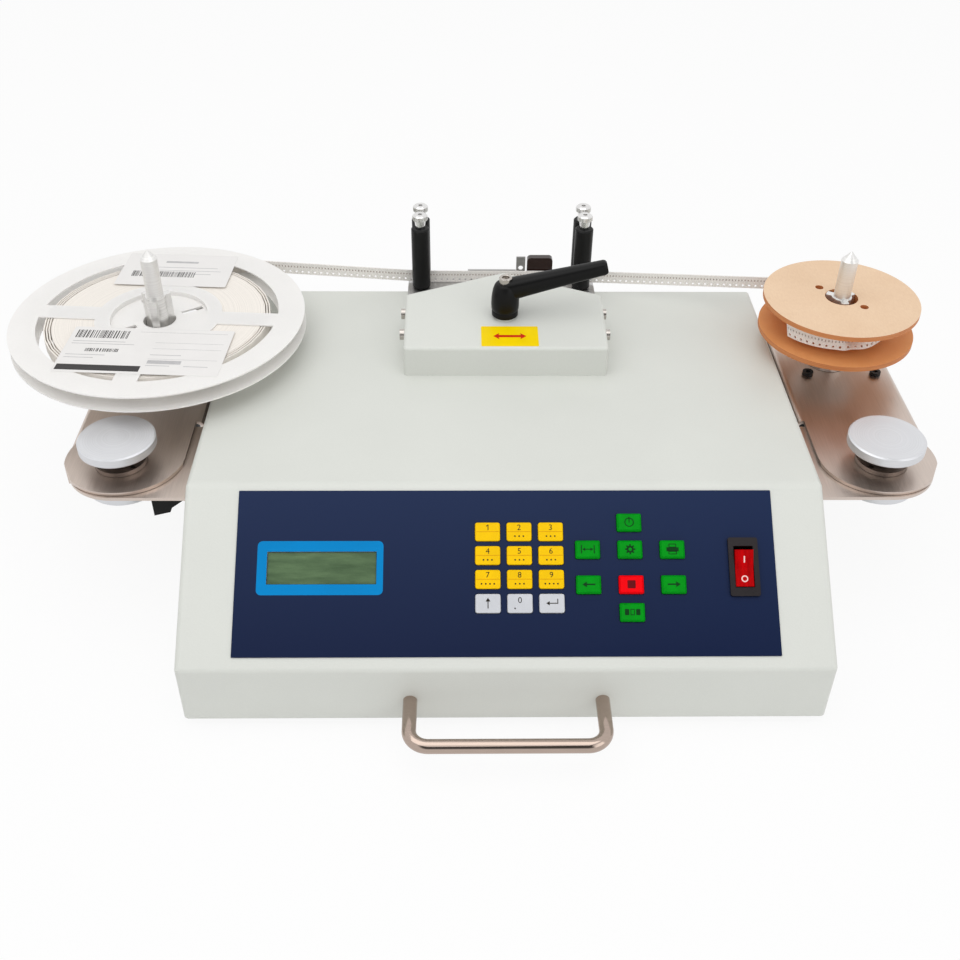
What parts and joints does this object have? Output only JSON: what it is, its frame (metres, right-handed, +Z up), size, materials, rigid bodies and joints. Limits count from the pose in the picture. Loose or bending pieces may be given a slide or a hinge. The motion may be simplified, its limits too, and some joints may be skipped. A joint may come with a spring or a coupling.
{
  "type": "component reel counter",
  "caption": "Bench counter for components on carrier tape: sloped keypad console, tape head with clamp lever and guide rollers, swing arms with driven reels.",
  "frame": {"origin": "on the bench under the middle of the case", "axes": "+X to the operator's right, +Y to the rear, +Z up; the keypad and handle face -Y"},
  "size_m": [0.5485, 0.3397, 0.167],
  "materials": {
    "case_paint": "smooth powder coat",
    "panel_print": "printed sheet",
    "display": "liquid crystal window",
    "circuit_board": "solder mask",
    "zinc_sheet": "plain sheet",
    "rubber": "moulded",
    "bright_screws": "plated",
    "handle_chrome": "nickel plated",
    "black_plastic": "moulded",
    "motor_black": "black paint",
    "rocker_red": "moulded",
    "track_steel": "plain",
    "thumb_chrome": "knurled",
    "sensor_brown": "tinted window",
    "stainless": "brushed",
    "turned_aluminium": "turned",
    "tape_paper": "punched paper tape",
    "reel_white": "moulded",
    "reel_board": "pressed board",
    "key_yellow": "moulded",
    "key_white": "moulded",
    "key_green": "moulded",
    "key_red": "moulded"
  },
  "bodies": {
    "console": {"base_tray": "case_paint", "top_cover": "case_paint", "front_overlay": "panel_print", "lcd_module": "display", "control_board": "circuit_board", "power_supply": "zinc_sheet", "rubber_feet": "rubber", "case_screws": "bright_screws", "front_handle": "handle_chrome", "switch_housing": "black_plastic", "mains_inlet": "black_plastic", "track_shelf": "track_steel", "head_cover": "case_paint", "front_thumb_screws": "thumb_chrome", "left_bracket": "stainless", "right_bracket": "stainless", "pivot_posts": "turned_aluminium", "cable_guide": "black_plastic", "carrier_tape": "tape_paper"},
    "guide_carriage": {"rear_guide": "track_steel", "sensor_holder": "sensor_brown", "rear_thumb_screws": "thumb_chrome"},
    "roller_fl": {"roller_front_left": "black_plastic"},
    "roller_fr": {"roller_front_right": "black_plastic"},
    "roller_rl": {"roller_rear_left": "black_plastic"},
    "roller_rr": {"roller_rear_right": "black_plastic"},
    "lever": {"clamp_lever": "black_plastic"},
    "rocker": {"power_rocker": "rocker_red"},
    "left_swing": {"left_arm": "stainless", "left_motor": "motor_black"},
    "right_swing": {"right_arm": "stainless", "right_motor": "motor_black"},
    "left_clamp": {"left_knob": "turned_aluminium"},
    "right_clamp": {"right_knob": "turned_aluminium"},
    "left_drive": {"left_spindle": "turned_aluminium", "left_reel": "reel_white", "left_tape": "tape_paper"},
    "right_drive": {"right_spindle": "turned_aluminium", "right_reel": "reel_board", "right_tape": "tape_paper"},
    "key_1": {"key_1": "key_yellow"},
    "key_2": {"key_2": "key_yellow"},
    "key_3": {"key_3": "key_yellow"},
    "key_4": {"key_4": "key_yellow"},
    "key_5": {"key_5": "key_yellow"},
    "key_6": {"key_6": "key_yellow"},
    "key_7": {"key_7": "key_yellow"},
    "key_8": {"key_8": "key_yellow"},
    "key_9": {"key_9": "key_yellow"},
    "key_up": {"key_up": "key_white"},
    "key_0": {"key_0": "key_white"},
    "key_enter": {"key_enter": "key_white"},
    "fn_top": {"fn_top": "key_green"},
    "fn_upper_left": {"fn_upper_left": "key_green"},
    "fn_upper_mid": {"fn_upper_mid": "key_green"},
    "fn_upper_right": {"fn_upper_right": "key_green"},
    "fn_lower_left": {"fn_lower_left": "key_green"},
    "fn_stop": {"fn_stop": "key_red"},
    "fn_lower_right": {"fn_lower_right": "key_green"},
    "fn_bottom": {"fn_bottom": "key_green"}
  },
  "joints": [
    {"name": "guide_slide", "type": "slide", "parent": "console", "child": "guide_carriage", "axis": [0, 1, 0], "range_m": [0, 0.012]},
    {"name": "roller_fl_spin", "type": "hinge", "parent": "console", "child": "roller_fl", "pos_m": [-0.0498, 0.1436, 0.1202], "axis": [0, 0, 1], "continuous": true},
    {"name": "roller_fr_spin", "type": "hinge", "parent": "console", "child": "roller_fr", "pos_m": [0.0562, 0.1436, 0.1202], "axis": [0, 0, 1], "continuous": true},
    {"name": "roller_rl_spin", "type": "hinge", "parent": "guide_carriage", "child": "roller_rl", "pos_m": [-0.0498, 0.1568, 0.1202], "axis": [0, 0, 1], "continuous": true},
    {"name": "roller_rr_spin", "type": "hinge", "parent": "guide_carriage", "child": "roller_rr", "pos_m": [0.0562, 0.1568, 0.1202], "axis": [0, 0, 1], "continuous": true},
    {"name": "lever_turn", "type": "hinge", "parent": "console", "child": "lever", "pos_m": [0.0032, 0.0738, 0.1202], "axis": [0, 0, 1], "range_deg": [0, 180]},
    {"name": "rocker_tilt", "type": "hinge", "parent": "console", "child": "rocker", "pos_m": [0.1241, -0.09783, 0.07159], "axis": [-1, 0, 0], "range_deg": [0, 20]},
    {"name": "left_arm_swing", "type": "hinge", "parent": "console", "child": "left_swing", "pos_m": [-0.2125, -0.0299, 0.09], "axis": [0, 0, 1], "range_deg": [0, 90]},
    {"name": "left_knob_turn", "type": "hinge", "parent": "console", "child": "left_clamp", "pos_m": [-0.2125, -0.0299, 0.09], "axis": [0, 0, 1], "range_deg": [0, 360]},
    {"name": "left_reel_spin", "type": "hinge", "parent": "left_swing", "child": "left_drive", "pos_m": [-0.207, 0.0725, 0.09], "axis": [0, 0, 1], "continuous": true},
    {"name": "right_arm_swing", "type": "hinge", "parent": "console", "child": "right_swing", "pos_m": [0.2125, -0.0299, 0.09], "axis": [0, 0, -1], "range_deg": [0, 90]},
    {"name": "right_knob_turn", "type": "hinge", "parent": "console", "child": "right_clamp", "pos_m": [0.2125, -0.0299, 0.09], "axis": [0, 0, 1], "range_deg": [0, 360]},
    {"name": "right_reel_spin", "type": "hinge", "parent": "right_swing", "child": "right_drive", "pos_m": [0.207, 0.0725, 0.09], "axis": [0, 0, 1], "continuous": true},
    {"name": "key_1_press", "type": "slide", "parent": "console", "child": "key_1", "axis": [0, 0.5856, -0.8106], "range_m": [0, 0.0008], "stiffness_N_per_m": 1200, "springref_m": -0.0003},
    {"name": "key_2_press", "type": "slide", "parent": "console", "child": "key_2", "axis": [0, 0.5856, -0.8106], "range_m": [0, 0.0008], "stiffness_N_per_m": 1200, "springref_m": -0.0003},
    {"name": "key_3_press", "type": "slide", "parent": "console", "child": "key_3", "axis": [0, 0.5856, -0.8106], "range_m": [0, 0.0008], "stiffness_N_per_m": 1200, "springref_m": -0.0003},
    {"name": "key_4_press", "type": "slide", "parent": "console", "child": "key_4", "axis": [0, 0.5856, -0.8106], "range_m": [0, 0.0008], "stiffness_N_per_m": 1200, "springref_m": -0.0003},
    {"name": "key_5_press", "type": "slide", "parent": "console", "child": "key_5", "axis": [0, 0.5856, -0.8106], "range_m": [0, 0.0008], "stiffness_N_per_m": 1200, "springref_m": -0.0003},
    {"name": "key_6_press", "type": "slide", "parent": "console", "child": "key_6", "axis": [0, 0.5856, -0.8106], "range_m": [0, 0.0008], "stiffness_N_per_m": 1200, "springref_m": -0.0003},
    {"name": "key_7_press", "type": "slide", "parent": "console", "child": "key_7", "axis": [0, 0.5856, -0.8106], "range_m": [0, 0.0008], "stiffness_N_per_m": 1200, "springref_m": -0.0003},
    {"name": "key_8_press", "type": "slide", "parent": "console", "child": "key_8", "axis": [0, 0.5856, -0.8106], "range_m": [0, 0.0008], "stiffness_N_per_m": 1200, "springref_m": -0.0003},
    {"name": "key_9_press", "type": "slide", "parent": "console", "child": "key_9", "axis": [0, 0.5856, -0.8106], "range_m": [0, 0.0008], "stiffness_N_per_m": 1200, "springref_m": -0.0003},
    {"name": "key_up_press", "type": "slide", "parent": "console", "child": "key_up", "axis": [0, 0.5856, -0.8106], "range_m": [0, 0.0008], "stiffness_N_per_m": 1200, "springref_m": -0.0003},
    {"name": "key_0_press", "type": "slide", "parent": "console", "child": "key_0", "axis": [0, 0.5856, -0.8106], "range_m": [0, 0.0008], "stiffness_N_per_m": 1200, "springref_m": -0.0003},
    {"name": "key_enter_press", "type": "slide", "parent": "console", "child": "key_enter", "axis": [0, 0.5856, -0.8106], "range_m": [0, 0.0008], "stiffness_N_per_m": 1200, "springref_m": -0.0003},
    {"name": "fn_top_press", "type": "slide", "parent": "console", "child": "fn_top", "axis": [0, 0.5856, -0.8106], "range_m": [0, 0.0008], "stiffness_N_per_m": 1200, "springref_m": -0.0003},
    {"name": "fn_upper_left_press", "type": "slide", "parent": "console", "child": "fn_upper_left", "axis": [0, 0.5856, -0.8106], "range_m": [0, 0.0008], "stiffness_N_per_m": 1200, "springref_m": -0.0003},
    {"name": "fn_upper_mid_press", "type": "slide", "parent": "console", "child": "fn_upper_mid", "axis": [0, 0.5856, -0.8106], "range_m": [0, 0.0008], "stiffness_N_per_m": 1200, "springref_m": -0.0003},
    {"name": "fn_upper_right_press", "type": "slide", "parent": "console", "child": "fn_upper_right", "axis": [0, 0.5856, -0.8106], "range_m": [0, 0.0008], "stiffness_N_per_m": 1200, "springref_m": -0.0003},
    {"name": "fn_lower_left_press", "type": "slide", "parent": "console", "child": "fn_lower_left", "axis": [0, 0.5856, -0.8106], "range_m": [0, 0.0008], "stiffness_N_per_m": 1200, "springref_m": -0.0003},
    {"name": "fn_stop_press", "type": "slide", "parent": "console", "child": "fn_stop", "axis": [0, 0.5856, -0.8106], "range_m": [0, 0.0008], "stiffness_N_per_m": 1200, "springref_m": -0.0003},
    {"name": "fn_lower_right_press", "type": "slide", "parent": "console", "child": "fn_lower_right", "axis": [0, 0.5856, -0.8106], "range_m": [0, 0.0008], "stiffness_N_per_m": 1200, "springref_m": -0.0003},
    {"name": "fn_bottom_press", "type": "slide", "parent": "console", "child": "fn_bottom", "axis": [0, 0.5856, -0.8106], "range_m": [0, 0.0008], "stiffness_N_per_m": 1200, "springref_m": -0.0003}
  ]
}
